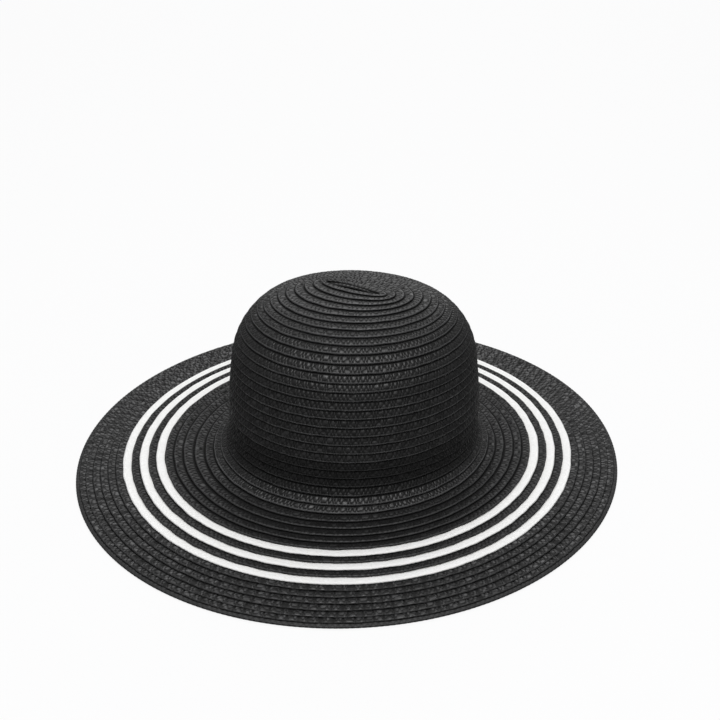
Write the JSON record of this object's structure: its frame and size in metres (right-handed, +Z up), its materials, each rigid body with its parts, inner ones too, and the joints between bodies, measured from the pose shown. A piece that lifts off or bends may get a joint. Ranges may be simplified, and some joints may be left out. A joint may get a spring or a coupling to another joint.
{
  "type": "straw sun hat",
  "caption": "Round-crowned straw hat with a wide, gently sloping brim, sewn from overlapping rounds of black braid with white stripes round the brim.",
  "frame": {"origin": "under the middle of the brim, on the surface that the hat rests on", "axes": "+Z up through the crown; the hat's front faces -Y and the head's long way runs along Y; +X to the right of someone facing +Y"},
  "size_m": [0.3824, 0.3828, 0.1375],
  "materials": {
    "black_straw": "matte plaited paper straw, dyed black",
    "white_straw": "matte plaited paper straw, bleached white"
  },
  "bodies": {
    "root": {"crown_tip": "black_straw", "crown_wall": "black_straw", "brim_inner": "black_straw", "white_round_1": "white_straw", "black_round_1": "black_straw", "white_round_2": "white_straw", "black_round_2": "black_straw", "white_round_3": "white_straw", "brim_outer": "black_straw", "edge_round": "black_straw"}
  },
  "joints": []
}
